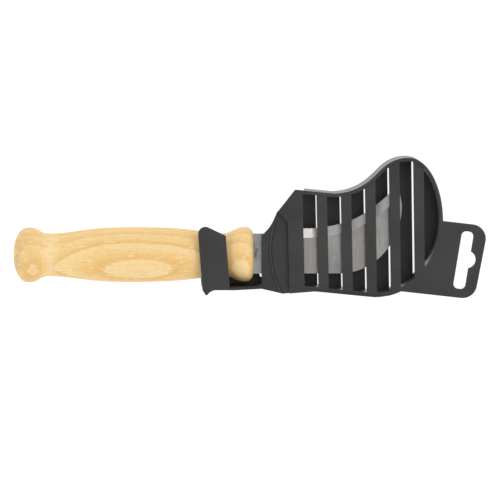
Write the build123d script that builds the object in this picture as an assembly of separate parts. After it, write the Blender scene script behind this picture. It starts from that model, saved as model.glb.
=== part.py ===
from build123d import *
import math
import os

# A hook knife with a turned wooden handle, lying in a slatted plastic sheath with a hang tab.
#
# Millimetres. During the build +X runs along the handle, from the pommel to the blade, and x = 0 is
# the front end of the handle. +Y is the side that the hook points to, and the handle's axis is at
# y = 0. +Z leaves the slatted front of the sheath, and z = 0 is the middle of the blade. At the end
# everything moves so that the origin is the bottom centre of the whole object.

# ---- handle: an oval turning
handle_length = 119.5
handle_width = 27.5  # across the bulb, barrel and pommel, in Y
handle_thickness = 21.0  # the same in Z
front_neck_width = 21.2
rear_neck_width = 21.4
bulb_round = 4.0  # rounding of the handle's front end
front_neck_at = 15.5  # from the front end
rear_neck_from_end = 17.5
pommel_from_end = 8.2  # widest place of the pommel

# ---- blade: a stamped hook with a tang
blade_thickness = 2.0
blade_reach = 74.5  # from the handle to the nose of the hook
shank_height = 20.0
shank_offset = 0.4  # the shank's middle above the handle's axis
heel_rise = 2.5  # the cutting edge starts this much above the ricasso
heel_flat = 8.0  # straight stretch before the cutting edge
tip_height = 34.3  # tip of the hook above the handle's axis
tip_setback = 1.6  # the tip lies behind the nose
nose_height = 24.4  # where the nose is furthest out
hook_run = 30.8  # length of the curved stretch of the spine
edge_run = 44.3  # from the nose back to where the edge starts
bevel_width = 4.6
edge_thickness = 0.3
tang_length = 75.0
tang_height = 10.0
bond_gap = 0.5  # adhesive on each side of the tang

# ---- sheath: one moulding, with nearly even walls
wall = 1.8
floor_wall = 2.3  # the wall under the blade
clip_floor = 1.5  # the wall under the handle
clip_clearance = 0.4  # between the bulb and the clip, front and back
seat_gap = 1.7  # between the bulb and the floor of the clip
front_room = 4.8  # between the blade and the front slats
throat_room = 1.8  # between the blade and the front of the throat
soft_edge = min(0.4, wall / 4)  # rounding of the moulding's outer edges

# ---- sheath: outline of the slatted box
nose_room = 20.1  # from the nose of the blade to the outside of the sheath
tip_room = 14.3  # from the tip of the blade to the top of the sheath
spine_room = 5.5  # from the spine to the floor's outside, at the handle's end
floor_fall = 6.1  # the floor falls this much towards the hook
lowest_from_nose = 14.0
toe_from_end = 12.6  # a place on the lower round corner
toe_drop = 2.8  # the same place below the spine
dome_run = 17.2  # from the top of the dome to the sheath's end
side_height = 17.0  # where the sheath's end is furthest out
waist_room = 17.9  # from the edge of the shank to the waist of the sheath
waist_from_nose = 34.0
waist_slope = 0.1

# ---- sheath: front of the slatted box
slat_pitch = 12.1
slat_width = 5.2
slat_lean = 1.4  # degrees, of the first slat
slat_lean_loss = 0.12  # each slat leans this much less than the one before it
back_lap = 0.35  # each back slat is this much wider than the front slot before it
first_panel = 7.45  # solid front panel beside the throat
rim_bead = 0.5  # the rim stands proud of the slats
plate_rise = 1.4  # the slatted front ends this much above the floor's outside
keel_step = 1.0  # the floor's edge is this much behind the slatted front

# ---- sheath: mouth, step and throat
throat_at = 4.2  # from the handle's front end
step_at = 17.4  # from the handle's front end to the step between throat and slatted box
step_lean = 1.0  # the step's foot lies this much further along than its knee
knee_height = 4.6  # above the shank's edge
knee_round = 1.6
mouth_foot = (-5.3, 11.4)  # foot of the mouth's slanted front edge, from the step and the shank's edge
mouth_top_at = 20.8
mouth_rise = 2.0  # top of the front edge above the waist
mouth_slope = 0.79
mouth_setback = 5.4  # the back's mouth edge lies this much further along
keel_drop = 2.5  # the floor under the throat is this much deeper than the clip's
keel_run = 13.4  # the deeper floor runs out this far beyond the step
keel_lead = 2.4  # deepest place before the step
throat_fullness = (3.8, 3.3)  # the throat's round shoulder, from the shank's corner
ridge_from = (6.5, 5.5)  # upper end of the raised ridge, from the shank's corner
ridge_waist = 4.3  # its middle, from the mouth
ridge_to = 9.9  # its foot, from the mouth
ridge_round = 0.75  # radius of the half-round ridge
ridge_lift = 0.3  # its centre above the throat's front
lip_height = 0.4  # the rim before the ridge stands proud

# ---- sheath: back of the bridge between clip and box
window_width = 11.6
window_height = 18.4
window_round = 1.2
window_at = (5.3, -3.2)  # its middle, from the throat's mouth and the handle's axis
notch_at = (3.5, 7.6)  # the back's edge passes this corner under the bulb
cheek_drop = 9.5  # the back's edge meets the box this much below the waist

# ---- clip
clip_width = 13.7
clip_lean = 4.4  # degrees
clip_round = 3.6
clip_corner_y = 10.2
clip_slope_rise = 6.8  # from the strap's right corner to its rounded left corner
clip_gap = 11.8  # from the clip to the handle's front end, at the floor
clip_back_drop = 2.2  # the clip's back is this much lower than its front strap
fang_drop = 3.2
fang_depth = 5.0
fang_round = 0.7
mark_place = (-19.4, 8.1)  # a shallow oval left by the mould
mark_width = 3.2
mark_height = 2.2
mark_depth = 0.15
bar_taper_start = 2.5  # from the clip

# ---- hang tab
tab_reach = 22.8  # from the sheath's end to the outer upper corner of the tab
tab_top = 14.3  # height of that corner
tab_slope = 4.4  # the upper edge rises this much towards the sheath
tab_run = 37.5  # length of the upper edge
tab_height = 36.7  # of the outer edge
tab_lean = 7.0  # the outer edge's lower end lies this much further in
tab_foot = 16.8  # the lower edge's inner end, below the handle's axis
tab_foot_run = 33.5  # that end, from the sheath's end
tab_round = 7.2
euro_length = 29.0
euro_width = 6.0
euro_round = 2.4
euro_from_edge = 12.5  # from the tab's outer upper corner to the slot's middle
euro_height = -2.65
euro_bump_radius = 4.4
euro_bump_at = (1.6, 0.6)  # the middle bump, from the slot's middle
euro_tilt = 9.2  # degrees

# ---- heights that follow from the sizes above
half_blade = blade_thickness / 2
back_in = -(handle_thickness / 2 + clip_clearance)
back_out = back_in - wall
clip_in = handle_thickness / 2 + clip_clearance
clip_out = clip_in + wall
slats_in = half_blade + front_room
slats_out = slats_in + wall
throat_in = half_blade + throat_room
throat_out = throat_in + wall
spine_y = shank_offset - shank_height / 2
ricasso_y = shank_offset + shank_height / 2
heel_y = ricasso_y + heel_rise
waist_y = heel_y + waist_room
floor_in = -handle_width / 2 - seat_gap
floor_out = floor_in - clip_floor
keel_y = floor_out - keel_drop
box_end = blade_reach + nose_room
box_top = tip_height + tip_room
slot_width = slat_pitch - slat_width
slot_count = 1 + int((box_end - wall - step_at - first_panel) / slat_pitch)
far = 100.0


def prism(outline, low, high):
    """A flat outline pushed from one height to another."""
    return extrude(Pos(0, 0, low) * outline, amount=high - low)


def enclosed(*lines):
    """The flat region inside a closed chain of lines and curves."""
    return make_face([edge for line in lines for edge in line.edges()])


def polygon(*points):
    return make_face(Polyline(*points, close=True))


def edges_at(piece, height, keep):
    """The edges of a piece that lie at one height and pass a test."""
    level = [edge for edge in piece.edges() if abs(edge.center().Z - height) < 0.01]
    return [edge for edge in level if keep(edge)]


def runs_across(edge):
    """True for a straight edge that runs mostly in Y."""
    return edge.geom_type == GeomType.LINE and abs((edge % 0.5).Y) > 0.5


# ---------------------------------------------------------------- handle

def make_handle():
    """A turned profile, squeezed to an oval, with a slot for the tang."""
    widest = handle_width / 2
    end_face = widest - bulb_round
    front_neck = (-front_neck_at, front_neck_width / 2)
    barrel = (-handle_length / 2, widest)
    rear_neck = (-handle_length + rear_neck_from_end, rear_neck_width / 2)
    pommel = (-handle_length + pommel_from_end, widest)
    tail = (-handle_length, 0)
    back_along = (-1, 0)
    fore = (
        0.73 * front_neck[0] + 0.27 * barrel[0],
        0.58 * front_neck[1] + 0.42 * widest,
    )
    rear = (
        0.5 * barrel[0] + 0.5 * rear_neck[0],
        0.3 * rear_neck[1] + 0.7 * widest,
    )
    round_tail = (0.78 * tail[0] + 0.22 * pommel[0], 0.69 * widest)
    profile = enclosed(
        Line(tail, (0, 0)),
        Line((0, 0), (0, end_face)),
        CenterArc((-bulb_round, end_face), bulb_round, 0, 90),
        Spline((-bulb_round, widest), front_neck, tangents=[back_along, back_along]),
        Spline(front_neck, fore, barrel, tangents=[back_along, back_along]),
        Spline(barrel, rear, rear_neck, tangents=[back_along, back_along]),
        Spline(rear_neck, pommel, tangents=[back_along, back_along]),
        Spline(pommel, round_tail, tail, tangents=[back_along, (0, -1)]),
    )
    oval = scale(revolve(profile, Axis.X), by=(1, 1, handle_thickness / handle_width))
    return oval - tang_slot()


def tang_slot():
    length = tang_length + bond_gap
    slot = Box(length, tang_height + 2 * bond_gap, blade_thickness + 2 * bond_gap)
    return Pos(-length / 2, shank_offset, 0) * slot


def make_tang():
    return Pos(-tang_length / 2, shank_offset, 0) * Box(tang_length, tang_height, blade_thickness)


def make_bond():
    return tang_slot() - make_tang()


# ---------------------------------------------------------------- blade

def edge_lines():
    """The ground stretch: a straight heel, then the concave cutting edge up to the tip."""
    start = (blade_reach - edge_run, heel_y)
    rise = tip_height - heel_y
    heel = Line((start[0] - heel_flat, heel_y), start)
    edge = Spline(
        start,
        (start[0] + 0.45 * edge_run, heel_y + 0.21 * rise),
        (start[0] + 0.72 * edge_run, heel_y + 0.56 * rise),
        (blade_reach - tip_setback, tip_height),
        tangents=[(1, 0.12), (0.8, 0.66)],
    )
    return heel, edge


def blade_outline():
    """Shank, hooked nose and concave edge."""
    curve_start = (blade_reach - hook_run, spine_y)
    spine = EllipticalCenterArc(
        (curve_start[0], nose_height), hook_run, nose_height - spine_y, 270, arc_size=90
    )
    heel, edge = edge_lines()
    return enclosed(
        Line((0, spine_y), curve_start),
        spine,
        Line((blade_reach, nose_height), edge @ 1),
        edge,
        heel,
        Spline((throat_at, ricasso_y), heel @ 0, tangents=[(1, 0), (1, 0)]),
        Line((0, ricasso_y), (throat_at, ricasso_y)),
        Line((0, spine_y), (0, ricasso_y)),
    )


def make_grind():
    """What the grinding takes away on one side: a wedge along the heel, the edge and past the tip."""
    heel, edge = edge_lines()
    past_tip = Line(edge @ 1, (edge @ 1) + (edge % 1) * bevel_width)
    outside = -0.2 * bevel_width
    wedge = Plane(heel @ 0, x_dir=(0, -1, 0), z_dir=(-1, 0, 0)) * polygon(
        (bevel_width, half_blade),
        (0, edge_thickness / 2),
        (outside, edge_thickness / 2),
        (outside, half_blade + edge_thickness),
        (bevel_width, half_blade + edge_thickness),
    )
    path = Wire([*heel.edges(), *edge.edges(), *past_tip.edges()])
    return sweep(wedge, path, transition=Transition.RIGHT)


def make_blade():
    """One steel stamping with its tang, the edge ground from both sides."""
    plate = prism(blade_outline(), -half_blade, half_blade)
    grind = make_grind()
    return plate - grind - mirror(grind, Plane.XY) + make_tang()


# ---------------------------------------------------------------- sheath outlines

def floor_line(inset=0.0):
    """The floor under the blade, from the handle's end to its lowest place."""
    start = spine_y - spine_room + inset
    return (0, start), (blade_reach - lowest_from_nose, start - floor_fall)


def floor_height(x):
    start, lowest = floor_line()
    return start[1] + (lowest[1] - start[1]) * x / lowest[0]


def box_outline(side_inset=0.0, floor_inset=0.0):
    """The slatted box: straight floor, round end, domed top and a waist. Insets give its inside."""
    floor_start, lowest = floor_line(floor_inset)
    corner_inset = 0.7 * side_inset
    toe = (box_end - toe_from_end - corner_inset, spine_y - toe_drop + corner_inset)
    side = (box_end - side_inset, side_height)
    dome = (box_end - dome_run, box_top - side_inset)
    waist = (blade_reach - waist_from_nose, waist_y - side_inset)
    rise = (0.5 * (waist[0] + dome[0] + side_inset), 0.58 * waist[1] + 0.42 * dome[1])
    top_left = (0, waist[1] + waist_slope * waist[0])
    return enclosed(
        Line(floor_start, lowest),
        Spline(lowest, toe, side, tangents=[(1, 0.02), (0.02, 1)]),
        EllipticalCenterArc(
            (dome[0], side_height), dome_run - side_inset, dome[1] - side_height, 0, arc_size=90
        ),
        Spline(waist, rise, dome, tangents=[(1, 0.05), (1, 0)]),
        Line(top_left, waist),
        Line(floor_start, top_left),
    )


def step_points(shift=0.0):
    """The step from the throat up to the front slats, from the mouth's foot to the floor."""
    knee_x = step_at - 0.4 + shift
    return [
        (step_at + mouth_foot[0] + shift, ricasso_y + mouth_foot[1]),
        (knee_x - 0.3, ricasso_y + knee_height + knee_round),
        (knee_x, ricasso_y + knee_height),
        (knee_x + step_lean, keel_y - wall),
    ]


def front_side():
    """Everything to the right of the step and of the mouth's slanted front edge."""
    mouth_top = (mouth_top_at, waist_y + mouth_rise)
    beyond = (mouth_top_at + mouth_slope * (far - mouth_top[1]), far)
    right = box_end + far
    return polygon(*step_points(), (right, keel_y - wall), (right, far), beyond, mouth_top)


def bars(left, widths):
    """Leaning upright strips, one for each slot of the front or back."""
    middle = 0.5 * (box_top + floor_out)
    strips = Sketch()
    for number, width in enumerate(widths):
        lean = slat_lean - number * slat_lean_loss
        place = Pos(left + number * slat_pitch, middle) * Rot(0, 0, lean)
        strips += place * Pos(width / 2, 0) * Rectangle(width, 2 * far)
    return strips


def keel_outline():
    """The deeper floor under the throat, which runs out under the slatted box."""
    end = step_at + keel_run
    return polygon(
        (throat_at, floor_in),
        (throat_at, floor_out),
        (step_at - keel_lead, keel_y),
        (end, floor_height(end)),
        (end, floor_height(end) + 0.2 * floor_wall),
        (step_at + step_lean, floor_height(step_at) + plate_rise),
    )


# ---------------------------------------------------------------- sheath, slatted box

def make_wall():
    """The wall round the slatted box, open at the mouth, with a proud rim and a lower keel."""
    mouth_end = mouth_top_at + mouth_setback
    ring = (outer - inner) & front_side()
    shell = prism(ring, back_out, slats_out)
    under_plate = polygon(
        (0, floor_height(0) + plate_rise),
        (box_end, floor_height(box_end) + plate_rise),
        (box_end, -far),
        (0, -far),
    )
    shell -= prism(under_plate, slats_out - keel_step, slats_out)
    shell += prism((keel_outline() & front_side()) - inner, back_out, slats_out - keel_step)
    before_mouth = Pos(mouth_end - far / 2, heel_y + far / 2) * Rectangle(far, far)
    shell -= prism(before_mouth, back_out, slats_in)
    after_mouth = Pos(mouth_end + far / 2, side_height + far / 2) * Rectangle(far, far)
    shell += prism(ring & after_mouth, slats_out, slats_out + rim_bead)
    crest = edges_at(shell, slats_out + rim_bead, lambda edge: edge.length > 2 * wall)
    return fillet(crest, soft_edge)


def make_front_slats():
    """The solid panel beside the throat and the slats, of which the last is a wide one."""
    widths = [slot_width] * (slot_count - 1) + [slot_width + slat_pitch]
    slots = bars(step_at + first_panel, widths)
    slats = prism((inner & front_side()) - slots, slats_in, slats_out)
    return fillet(edges_at(slats, slats_out, runs_across), soft_edge)


def make_back_slats():
    """The back is closed where the front is open, and open behind each front slat."""
    mouth_end = mouth_top_at + mouth_setback
    behind_mouth = polygon(
        (step_at, -far),
        (box_end, -far),
        (box_end, far),
        (mouth_end + mouth_slope * (far - waist_y), far),
        (mouth_end, waist_y),
        (step_at, waist_y - cheek_drop),
    )
    widths = [slat_width - back_lap] * (slot_count - 1)
    slots = bars(step_at + first_panel + slot_width + back_lap, widths)
    slats = prism((inner & behind_mouth) - slots, back_out, back_in)
    return fillet(edges_at(slats, back_out, runs_across), soft_edge)


# ---------------------------------------------------------------- sheath, throat and bridge

def throat_front():
    """The front plate of the throat: a round shoulder, the mouth's edge and the step."""
    corner = (throat_at, ricasso_y - 1.0)
    shoulder = (corner[0] + throat_fullness[0], ricasso_y + throat_fullness[1])
    step = step_points()
    front = enclosed(
        Spline(corner, shoulder, step[0], tangents=[(0.63, 0.78), (0.4, 0.9)]),
        Polyline(*step, (throat_at, step[-1][1]), corner),
    )
    rim = polygon(
        (throat_at, far),
        (throat_at, floor_out),
        (step_at - keel_lead, keel_y),
        (step_at + step_lean, keel_y + 0.2 * floor_wall),
        (step_at + step_lean, far),
    )
    return front & rim


def make_throat():
    """A lower front over the shank of the blade, with a raised lip and a curved ridge."""
    front = throat_front()
    ridge_top = (throat_at + ridge_from[0], ricasso_y + ridge_from[1])
    ridge_middle = (throat_at + ridge_waist, shank_offset)
    ridge_foot = (throat_at + ridge_to, keel_y)
    ridge_line = ThreePointArc(ridge_top, ridge_middle, ridge_foot)
    before_ridge = Polyline(
        ridge_foot,
        (0, keel_y),
        (0, far),
        (ridge_top[0] + ridge_round, far),
        ridge_top,
    )
    throat = prism(front, throat_in, throat_out)
    throat += prism(front & enclosed(ridge_line, before_ridge), throat_out, throat_out + lip_height)
    bead = sweep(Plane(ridge_line @ 0, z_dir=ridge_line % 0) * Circle(ridge_round), ridge_line)
    throat += Pos(0, 0, throat_out + ridge_lift) * bead & prism(front, throat_in, throat_out + wall)
    throat += prism(keel_outline() - front_side(), back_in, throat_in)
    riser = inner & polygon(*step_points(), *reversed(step_points(wall)))
    return throat + prism(riser, throat_in, slats_in)


def bridge_back():
    """The back plate from the clip to the slatted box, with a window behind the throat."""
    cheek = (step_at, waist_y - cheek_drop)
    rise = (throat_at + ridge_from[0], ricasso_y + 2.5)
    plate = enclosed(
        Polyline(
            (clip_right(floor_out), floor_out),
            (clip_right(back_corner_y), back_corner_y),
            (0, notch_at[1] + 2.0),
            notch_at,
        ),
        Spline(notch_at, rise, cheek, tangents=[(0.8, 0.6), (0.6, 0.8)]),
        Polyline(
            cheek,
            (step_at, keel_y + 0.3),
            (step_at - keel_lead, keel_y),
            (throat_at, floor_out),
            (clip_right(floor_out), floor_out),
        ),
    )
    window = RectangleRounded(window_width, window_height, window_round)
    return plate - Pos(throat_at + window_at[0], window_at[1]) * window


def make_bridge():
    """The back between clip and box, and the floor bar that tapers down to the throat."""
    bar = polygon(
        (clip_right(floor_out), floor_out),
        (throat_at, floor_out),
        (throat_at, floor_in),
        (clip_right(floor_in), floor_in),
    )
    taper_start = clip_right(floor_out) + bar_taper_start
    above_taper = Plane.XZ * polygon(
        (taper_start, clip_out + wall),
        (taper_start, clip_out),
        (throat_at, throat_out + lip_height),
        (throat_at + wall, clip_out + wall),
    )
    tapered = prism(bar, back_in, clip_out)
    tapered -= extrude(Pos(0, floor_out - wall, 0) * above_taper, amount=-far)
    return prism(bridge_back(), back_out, back_in) + tapered


# ---------------------------------------------------------------- sheath, clip and hang tab

def clip_right(y):
    """The clip's right edge, which leans."""
    return -clip_gap - (y - floor_out) * math.tan(math.radians(clip_lean))


def clip_outline(corner_y):
    """A leaning strap with a sloping top and one large rounded corner."""
    peak_y = corner_y + clip_slope_rise
    shape = polygon(
        (clip_right(floor_out) - clip_width, floor_out),
        (clip_right(peak_y) - clip_width, peak_y),
        (clip_right(corner_y), corner_y),
        (clip_right(floor_out), floor_out),
    )
    return fillet(shape.vertices().sort_by(Axis.Y)[-1], clip_round)


def fang_outline():
    """A small hooked point under the left end of the clip's floor."""
    left = clip_right(floor_out) - clip_width
    root = floor_out + 0.5 * clip_floor
    tip = (left + 0.15 * clip_width, floor_out - fang_drop)
    flank = (left + 0.25 * clip_width, floor_out - 0.4 * fang_drop)
    flank_end = (left + 0.45 * clip_width, floor_out)
    shape = enclosed(
        Polyline(tip, (left, floor_out), (left + 0.1, root), (flank_end[0], root), flank_end),
        ThreePointArc(flank_end, flank, tip),
    )
    return fillet(shape.vertices().sort_by(Axis.Y)[0], fang_round)


def make_clip():
    """An open hook round the neck of the handle: back, floor, front strap and fang."""
    floor = polygon(
        (clip_right(floor_out) - clip_width, floor_out),
        (clip_right(floor_out), floor_out),
        (clip_right(floor_in), floor_in),
        (clip_right(floor_in) - clip_width, floor_in),
    )
    strap = prism(clip_outline(clip_corner_y), clip_in, clip_out)
    strap = fillet(strap.faces().sort_by(Axis.Z)[-1].edges(), soft_edge)
    mark = Pos(*mark_place) * Ellipse(mark_width / 2, mark_height / 2)
    strap -= prism(mark, clip_out - mark_depth, clip_out)
    back = prism(clip_outline(back_corner_y), back_out, back_in)
    fang = prism(fang_outline(), clip_out - fang_depth, clip_out - soft_edge)
    return back + prism(floor, back_in, clip_in) + strap + fang


def make_hang_tab():
    """A flat tab, level with the front slats, with a tilted euro slot."""
    outer_top = (box_end + tab_reach, tab_top)
    foot = (box_end - tab_foot_run, -tab_foot)
    tab = polygon(
        (outer_top[0] - tab_run, tab_top + tab_slope),
        outer_top,
        (outer_top[0] - tab_lean, tab_top - tab_height),
        foot,
        (foot[0], 0),
    )
    tab = fillet(tab.vertices().sort_by(Axis.X)[-2:], tab_round)
    tab = (tab - outer).faces().sort_by(Axis.X)[-1]
    slot = RectangleRounded(euro_width, euro_length, euro_round)
    slot += Pos(*euro_bump_at) * Circle(euro_bump_radius)
    place = Pos(outer_top[0] - euro_from_edge, euro_height) * Rot(0, 0, -euro_tilt)
    plate = prism(tab - place * slot, slats_in, slats_out)
    free = edges_at(plate, slats_out, stands_free) + edges_at(plate, slats_in, stands_free)
    return fillet(free, soft_edge)


def stands_free(edge):
    """True for an edge that lies away from the slatted box, seen from the front."""
    middle = edge @ 0.5
    return outer.distance_to(Vertex(middle.X, middle.Y, 0)) > 0.2


# ---------------------------------------------------------------- all pieces

back_corner_y = clip_corner_y - clip_back_drop
outer = box_outline()
inner = box_outline(wall, floor_wall)
parts = {
    "handle": make_handle(),
    "blade": make_blade(),
    "tang_bond": make_bond(),
    "sheath_wall": make_wall(),
    "sheath_front_slats": make_front_slats(),
    "sheath_back_slats": make_back_slats(),
    "sheath_throat": make_throat(),
    "sheath_bridge": make_bridge(),
    "sheath_clip": make_clip(),
    "sheath_hang_tab": make_hang_tab(),
}
whole = Compound(children=[Compound(piece.wrapped) for piece in parts.values()]).bounding_box()
to_origin = Pos(-whole.center().X, -whole.center().Y, -whole.min.Z)

os.makedirs("parts", exist_ok=True)
for name, piece in parts.items():
    placed = to_origin * piece
    export_step(placed, f"parts/{name}.step")
    print(name, round(placed.volume, 1), placed.is_valid, len(placed.solids()))
print("moved by", to_origin.position, "size", whole.size)
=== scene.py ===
import math

import bpy
from mathutils import Matrix, Vector


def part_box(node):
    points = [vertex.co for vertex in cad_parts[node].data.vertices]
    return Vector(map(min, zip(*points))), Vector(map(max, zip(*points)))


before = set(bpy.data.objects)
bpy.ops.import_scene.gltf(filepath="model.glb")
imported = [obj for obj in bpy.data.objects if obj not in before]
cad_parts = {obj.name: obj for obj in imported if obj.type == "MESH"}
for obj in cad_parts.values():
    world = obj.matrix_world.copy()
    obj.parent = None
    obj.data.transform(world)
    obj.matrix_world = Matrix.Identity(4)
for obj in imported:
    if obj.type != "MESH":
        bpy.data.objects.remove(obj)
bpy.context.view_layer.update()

MM = 0.001
WHITE = (1.0, 1.0, 1.0, 1.0)

handle_low, handle_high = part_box("handle")
HANDLE_MIDDLE = (handle_low[0] + handle_high[0]) / 2
AXIS_Y = (handle_low[1] + handle_high[1]) / 2
AXIS_Z = (handle_low[2] + handle_high[2]) / 2


# ---------------------------------------------------------------- camera

VIEW_WIDTH = 0.25  # what the square picture spans at the handle's height
SENSOR_MM = 36.0
HANDLE_FRONT = Vector((handle_high[0], AXIS_Y, AXIS_Z))
CAMERA_PLACE = HANDLE_FRONT + Vector((-0.0685, 0.156, 1.9993))
CAMERA_AIM = HANDLE_FRONT + Vector((-0.00147, 0.00215, 0.0))


def make_camera():
    """Looks down on the object from 2 m, a little from its mouth side and from the pommel's side."""
    data = bpy.data.cameras.new("camera")
    camera = bpy.data.objects.new("camera", data)
    bpy.context.scene.collection.objects.link(camera)
    forward = CAMERA_AIM - CAMERA_PLACE
    data.sensor_width = SENSOR_MM
    data.lens = data.sensor_width * forward.length / VIEW_WIDTH
    back = -forward.normalized()
    right = Vector((0, 1, 0)).cross(back).normalized()
    up = back.cross(right)
    turn = Matrix((right, up, back)).transposed()
    camera.matrix_world = Matrix.Translation(CAMERA_PLACE) @ turn.to_4x4()
    bpy.context.scene.camera = camera


# ---------------------------------------------------------------- node materials

class Shader:
    """A short way to write a node material: every call returns an output socket."""

    def __init__(self, name):
        self.material = bpy.data.materials.new(name)
        self.material.use_nodes = True
        self.tree = self.material.node_tree
        self.tree.nodes.clear()
        texture = self.tree.nodes.new("ShaderNodeTexCoord")
        self.coordinates = texture.outputs["Object"]
        self.normals = texture.outputs["Normal"]

    def node(self, kind, inputs=(), **settings):
        made = self.tree.nodes.new(kind)
        for key, value in settings.items():
            setattr(made, key, value)
        for key, value in dict(inputs).items():
            if isinstance(value, bpy.types.NodeSocket):
                self.tree.links.new(value, made.inputs[key])
            else:
                made.inputs[key].default_value = value
        return made

    def math(self, operation, a, b=0.0):
        return self.node("ShaderNodeMath", {0: a, 1: b}, operation=operation).outputs[0]

    def stretched(self, scale, shift=(0, 0, 0)):
        inputs = {"Vector": self.coordinates, "Scale": scale, "Location": shift}
        return self.node("ShaderNodeMapping", inputs).outputs[0]

    def noise(self, scale, detail=3.0, roughness=0.5, shift=(0, 0, 0)):
        """Noise whose grain is 1/scale metres along each axis."""
        inputs = {
            "Vector": self.stretched(scale, shift),
            "Scale": 1.0,
            "Detail": detail,
            "Roughness": roughness,
        }
        return self.node("ShaderNodeTexNoise", inputs).outputs[0]

    def ramp(self, factor, stops, interpolation="LINEAR"):
        made = self.node("ShaderNodeValToRGB", {"Fac": factor})
        made.color_ramp.interpolation = interpolation
        elements = made.color_ramp.elements
        while len(elements) < len(stops):
            elements.new(0.5)
        for element, (place, colour) in zip(elements, stops):
            element.position = place
            element.color = colour if len(colour) == 4 else (*colour, 1.0)
        return made.outputs[0]

    def spread(self, value, low, high, to_low, to_high):
        inputs = {0: value, 1: low, 2: high, 3: to_low, 4: to_high}
        return self.node("ShaderNodeMapRange", inputs).outputs[0]

    def mix(self, factor, a, b, blend="MIX"):
        made = self.node("ShaderNodeMix", data_type="RGBA", blend_type=blend)
        for socket, value in ((made.inputs[0], factor), (made.inputs[6], a), (made.inputs[7], b)):
            if isinstance(value, bpy.types.NodeSocket):
                self.tree.links.new(value, socket)
            else:
                socket.default_value = value
        return made.outputs[2]

    def bump(self, height, distance, strength=1.0, normal=None):
        inputs = {"Height": height, "Distance": distance, "Strength": strength}
        if normal is not None:
            inputs["Normal"] = normal
        return self.node("ShaderNodeBump", inputs).outputs[0]

    def finish(self, **inputs):
        names = {key.replace("_", " "): value for key, value in inputs.items()}
        surface = self.node("ShaderNodeBsdfPrincipled", names).outputs[0]
        output = self.tree.nodes.new("ShaderNodeOutputMaterial")
        self.tree.links.new(surface, output.inputs[0])
        return self.material


def linear(red, green, blue):
    """A display colour, 0 to 255, as the shader's linear colour."""
    values = []
    for value in (red, green, blue):
        part = value / 255.0
        values.append(part / 12.92 if part < 0.04045 else ((part + 0.055) / 1.055) ** 2.4)
    return (*values, 1.0)


RING_SPACING = 4.4 * MM
FIRST_RING = 10.14 * MM  # from the handle's axis, along the rings' normal
RING_TILT = math.radians(24.8)
RING_CURVE = 1.62  # the ring sheets bend away along the handle, 1/m
RING_SHIFT = 1.6 * MM  # the sheets are flattest a little nearer to the blade
RING_SKEW = 1.6  # they bend less towards the blade, 1/m
REAR_NECK = -43 * MM  # from the handle's middle: the wood is painted paler round this neck
NECK_REACH = 5 * MM
END_GRAIN_START = -47 * MM  # from the handle's middle: cut fibres darken the pommel
END_GRAIN_REACH = 10 * MM
WANDER = 0.6 * MM  # how far the sheets stray, in long waves
RIPPLE = 0.35 * MM  # and in short ones


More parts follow.
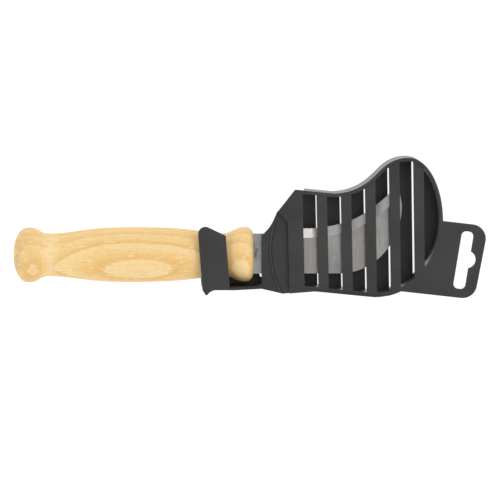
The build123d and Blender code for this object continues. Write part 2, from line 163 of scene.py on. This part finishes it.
def make_birch():
    """Growth rings as gently bent sheets through the handle, fine fibres and short pores."""
    shader = Shader("birch")
    place = shader.node("ShaderNodeSeparateXYZ", {0: shader.coordinates}).outputs
    along = shader.math("SUBTRACT", place[0], HANDLE_MIDDLE + RING_SHIFT)
    across = shader.math("SUBTRACT", place[1], AXIS_Y)
    height = shader.math("SUBTRACT", place[2], AXIS_Z)
    depth = shader.math(
        "SUBTRACT",
        shader.math("MULTIPLY", height, math.cos(RING_TILT)),
        shader.math("MULTIPLY", across, math.sin(RING_TILT)),
    )
    square = shader.math("MULTIPLY", along, along)
    evenness = shader.math("SUBTRACT", 1.0, shader.math("MULTIPLY", along, RING_SKEW))
    bend = shader.math("MULTIPLY", shader.math("MULTIPLY", square, RING_CURVE), evenness)
    depth = shader.math("SUBTRACT", depth, bend)
    wander = shader.noise((25, 110, 110), detail=2.0)
    ripple = shader.noise((140, 600, 600), detail=3.0, shift=(3, 1, 7))
    depth = shader.math("ADD", depth, shader.spread(wander, 0, 1, -WANDER, WANDER))
    depth = shader.math("ADD", depth, shader.spread(ripple, 0, 1, -RIPPLE, RIPPLE))
    turns = shader.math("DIVIDE", shader.math("SUBTRACT", FIRST_RING, depth), RING_SPACING)
    within = shader.math("FRACT", turns)
    pale, honey, late = linear(248, 219, 160), linear(243, 203, 133), linear(236, 189, 117)
    rings = shader.ramp(
        within, [(0.0, late), (0.05, late), (0.28, honey), (0.8, pale), (0.95, pale), (1.0, late)]
    )
    rings = shader.mix(shader.spread(turns, 0.9, 2.6, 0.0, 0.6), rings, linear(246, 210, 144))
    from_neck = shader.math("ABSOLUTE", shader.math("SUBTRACT", along, REAR_NECK))
    rings = shader.mix(shader.spread(from_neck, 0, NECK_REACH, 0.6, 0.0), rings, linear(253, 231, 184))
    fibres = shader.noise((70, 1300, 1300), detail=5.0, roughness=0.7, shift=(1, 4, 2))
    colour = shader.mix(shader.spread(fibres, 0.42, 0.66, 0.0, 0.45), rings, linear(236, 191, 120))
    flecks = shader.noise((230, 1000, 1000), detail=3.0, roughness=0.7, shift=(9, 2, 5))
    colour = shader.mix(shader.spread(flecks, 0.52, 0.68, 0.0, 0.6), colour, linear(253, 228, 176))
    pores = shader.noise((380, 2600, 2600), detail=2.0, shift=(2, 8, 1))
    colour = shader.mix(shader.spread(pores, 0.58, 0.72, 0.0, 0.45), colour, linear(214, 162, 98))
    end_grain = shader.spread(along, END_GRAIN_START, END_GRAIN_START - END_GRAIN_REACH, 0.0, 0.55)
    streaks = shader.noise((160, 420, 160), detail=4.0, roughness=0.65, shift=(6, 6, 1))
    toasted = shader.spread(streaks, 0.4, 0.62, 0.0, 1.0)
    colour = shader.mix(shader.math("MULTIPLY", end_grain, toasted), colour, linear(214, 172, 122))
    relief = shader.math("ADD", shader.math("MULTIPLY", fibres, 0.6), shader.math("MULTIPLY", pores, -0.4))
    normal = shader.bump(relief, 0.05 * MM, 0.5)
    roughness = shader.spread(fibres, 0.3, 0.7, 0.45, 0.6)
    return shader.finish(
        Base_Color=colour, Roughness=roughness, Normal=normal, Specular_IOR_Level=0.3
    )


DARK_REFLECTION_PLACE = 1.9 * MM  # the middle of the darker cloud, a painted reflection of the dark sheath and handle, above the handle's axis
DARK_REFLECTION_CORE = 2.5 * MM  # full strength this far from its middle
DARK_REFLECTION_EDGE = 5 * MM
DARK_REFLECTION_END = 5.5 * MM  # from the handle's front
HEEL_HIGHLIGHT_END = 30.2 * MM  # from the handle's front: up to here the bevel keeps its lighter colour, a painted highlight for the light's reflection on the heel band, and its lower roughness
BEVEL_DULLNESS = 0.16  # added to its roughness past the heel


def make_steel():
    """Satin blade steel. Its bevel is greyed past the heel, a painted shade that leaves the heel band as a
    painted highlight (the bevel is also rougher there), and a darker cloud on the ricasso is a painted
    reflection of the sheath and handle.
    """
    shader = Shader("blade_steel")
    place = shader.node("ShaderNodeSeparateXYZ", {0: shader.coordinates}).outputs
    # The flat sides face straight up or down, and the bevel leans about ten degrees.
    facing = shader.node("ShaderNodeSeparateXYZ", {0: shader.normals}).outputs[2]
    bevel = shader.spread(shader.math("ABSOLUTE", facing), 0.998, 0.99, 0.0, 1.0)
    past_heel = handle_high[0] + HEEL_HIGHLIGHT_END
    # Painted shade: past the heel the bevel's colour is greyed, so the heel band stays lighter as a painted
    # highlight.
    painted_shade_past_heel = shader.spread(place[0], past_heel - MM, past_heel + MM, 0.1, 1.0)
    bevel = shader.math("MULTIPLY", bevel, painted_shade_past_heel)
    grinding = shader.noise((3800, 90, 900), detail=4.0, roughness=0.65)
    cloud = shader.noise((70, 70, 70), detail=3.0, shift=(4, 4, 4))
    speckle = shader.noise((2600, 2600, 2600), detail=2.0, shift=(7, 1, 3))
    tone = shader.math("ADD", shader.math("MULTIPLY", grinding, 0.55), shader.math("MULTIPLY", cloud, 0.45))
    colour = shader.ramp(tone, [(0.3, linear(150, 147, 144)), (0.7, linear(192, 189, 186))])
    colour = shader.mix(shader.spread(speckle, 0.45, 0.75, 0.0, 0.3), colour, linear(128, 126, 124))
    # Painted shade and highlight: the bevel is greyed past the heel and kept lighter on the heel band.
    colour = shader.mix(shader.math("MULTIPLY", bevel, 0.6), colour, linear(150, 148, 146))
    # Painted reflection: a darker brown cloud on the ricasso stands for the sheath and handle mirrored in
    # the steel.
    from_dark_reflection = shader.math("ABSOLUTE", shader.math("SUBTRACT", place[1], AXIS_Y + DARK_REFLECTION_PLACE))
    painted_dark_reflection = shader.spread(from_dark_reflection, DARK_REFLECTION_CORE, DARK_REFLECTION_EDGE, 0.75, 0.0)
    near_handle = shader.spread(place[0], handle_high[0] + DARK_REFLECTION_END, handle_high[0], 0.0, 1.0)
    painted_dark_reflection = shader.math("MULTIPLY", painted_dark_reflection, near_handle)
    swirl = shader.noise((520, 300, 300), detail=1.0, shift=(3, 5, 8))
    painted_dark_reflection = shader.math("MULTIPLY", painted_dark_reflection, shader.spread(swirl, 0.44, 0.56, 0.2, 1.0))
    colour = shader.mix(painted_dark_reflection, colour, linear(78, 70, 62))
    roughness = shader.spread(grinding, 0.3, 0.7, 0.18, 0.28)
    roughness = shader.math("ADD", roughness, shader.math("MULTIPLY", bevel, BEVEL_DULLNESS))
    normal = shader.bump(grinding, 0.02 * MM, 0.18)
    return shader.finish(Base_Color=colour, Metallic=1.0, Roughness=roughness, Normal=normal)


def make_plastic():
    """Black moulded plastic with a fine eroded texture."""
    shader = Shader("sheath_plastic")
    grain = shader.noise((3300, 3300, 3300), detail=3.0, roughness=0.6)
    flow = shader.noise((45, 45, 45), detail=3.0, shift=(5, 2, 8))
    colour = shader.ramp(flow, [(0.3, linear(42, 42, 43)), (0.7, linear(51, 51, 51))])
    colour = shader.mix(shader.spread(grain, 0.55, 0.8, 0.0, 0.4), colour, linear(66, 66, 67))
    roughness = shader.spread(flow, 0.3, 0.7, 0.30, 0.38)
    normal = shader.bump(grain, 0.02 * MM, 0.35)
    return shader.finish(Base_Color=colour, Roughness=roughness, Normal=normal, Specular_IOR_Level=0.4)


def make_adhesive():
    """Cured amber adhesive round the tang, hidden in the handle."""
    shader = Shader("adhesive")
    cloud = shader.noise((300, 300, 300))
    colour = shader.ramp(cloud, [(0.3, linear(190, 150, 90)), (0.7, linear(214, 178, 118))])
    return shader.finish(Base_Color=colour, Roughness=shader.spread(cloud, 0, 1, 0.3, 0.5))


def dress(name, material):
    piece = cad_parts[name]
    piece.data.materials.clear()
    piece.data.materials.append(material)


# ---------------------------------------------------------------- stage and light

FLOOR_SIZE = 8.0
FLOOR_DROP = 0.2 * MM  # just under the object
FLOOR_GLOW = 0.92
SKY_STRENGTH = 0.62
SOFTBOXES = {  # place, size and power in watts
    "key": ((0.31, 0.5, 1.6), 0.4, 1.75),
    "left": ((-0.95, 0.25, 1.6), 0.9, 6.5),
    "right": ((0.95, 0.25, 1.6), 0.9, 6.5),
    "fill": ((0.2, -1.5, 0.9), 1.2, 3.0),
}


def make_floor():
    """A white surface that glows a little, as a light table does."""
    bpy.ops.mesh.primitive_plane_add(size=FLOOR_SIZE, location=(0, 0, -FLOOR_DROP))
    floor = bpy.context.object
    floor.name = "floor"
    shader = Shader("floor_white")
    cloud = shader.noise((3, 3, 3))
    colour = shader.ramp(cloud, [(0.0, (0.22, 0.22, 0.22)), (1.0, (0.24, 0.24, 0.24))])
    white = shader.finish(
        Base_Color=colour, Roughness=0.9, Emission_Color=WHITE, Emission_Strength=FLOOR_GLOW
    )
    floor.data.materials.append(white)


def add_softbox(name, place, size, power):
    data = bpy.data.lights.new(name, "AREA")
    data.shape = "SQUARE"
    data.size = size
    data.energy = power
    box = bpy.data.objects.new(name, data)
    bpy.context.scene.collection.objects.link(box)
    box.location = place
    box.rotation_mode = "QUATERNION"
    box.rotation_quaternion = Vector(place).to_track_quat("Z", "Y")
    box.visible_camera = False


def make_lights():
    world = bpy.data.worlds.new("studio")
    world.use_nodes = True
    world.node_tree.nodes["Background"].inputs["Color"].default_value = WHITE
    world.node_tree.nodes["Background"].inputs["Strength"].default_value = SKY_STRENGTH
    bpy.context.scene.world = world
    for name, (place, size, power) in SOFTBOXES.items():
        add_softbox(name, place, size, power)
    bpy.context.scene.view_settings.view_transform = "Standard"


# ---------------------------------------------------------------- the scene

make_camera()
make_floor()
make_lights()

plastic = make_plastic()
dress("handle", make_birch())
dress("blade", make_steel())
dress("tang_bond", make_adhesive())
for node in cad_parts:
    if node.startswith("sheath"):
        dress(node, plastic)
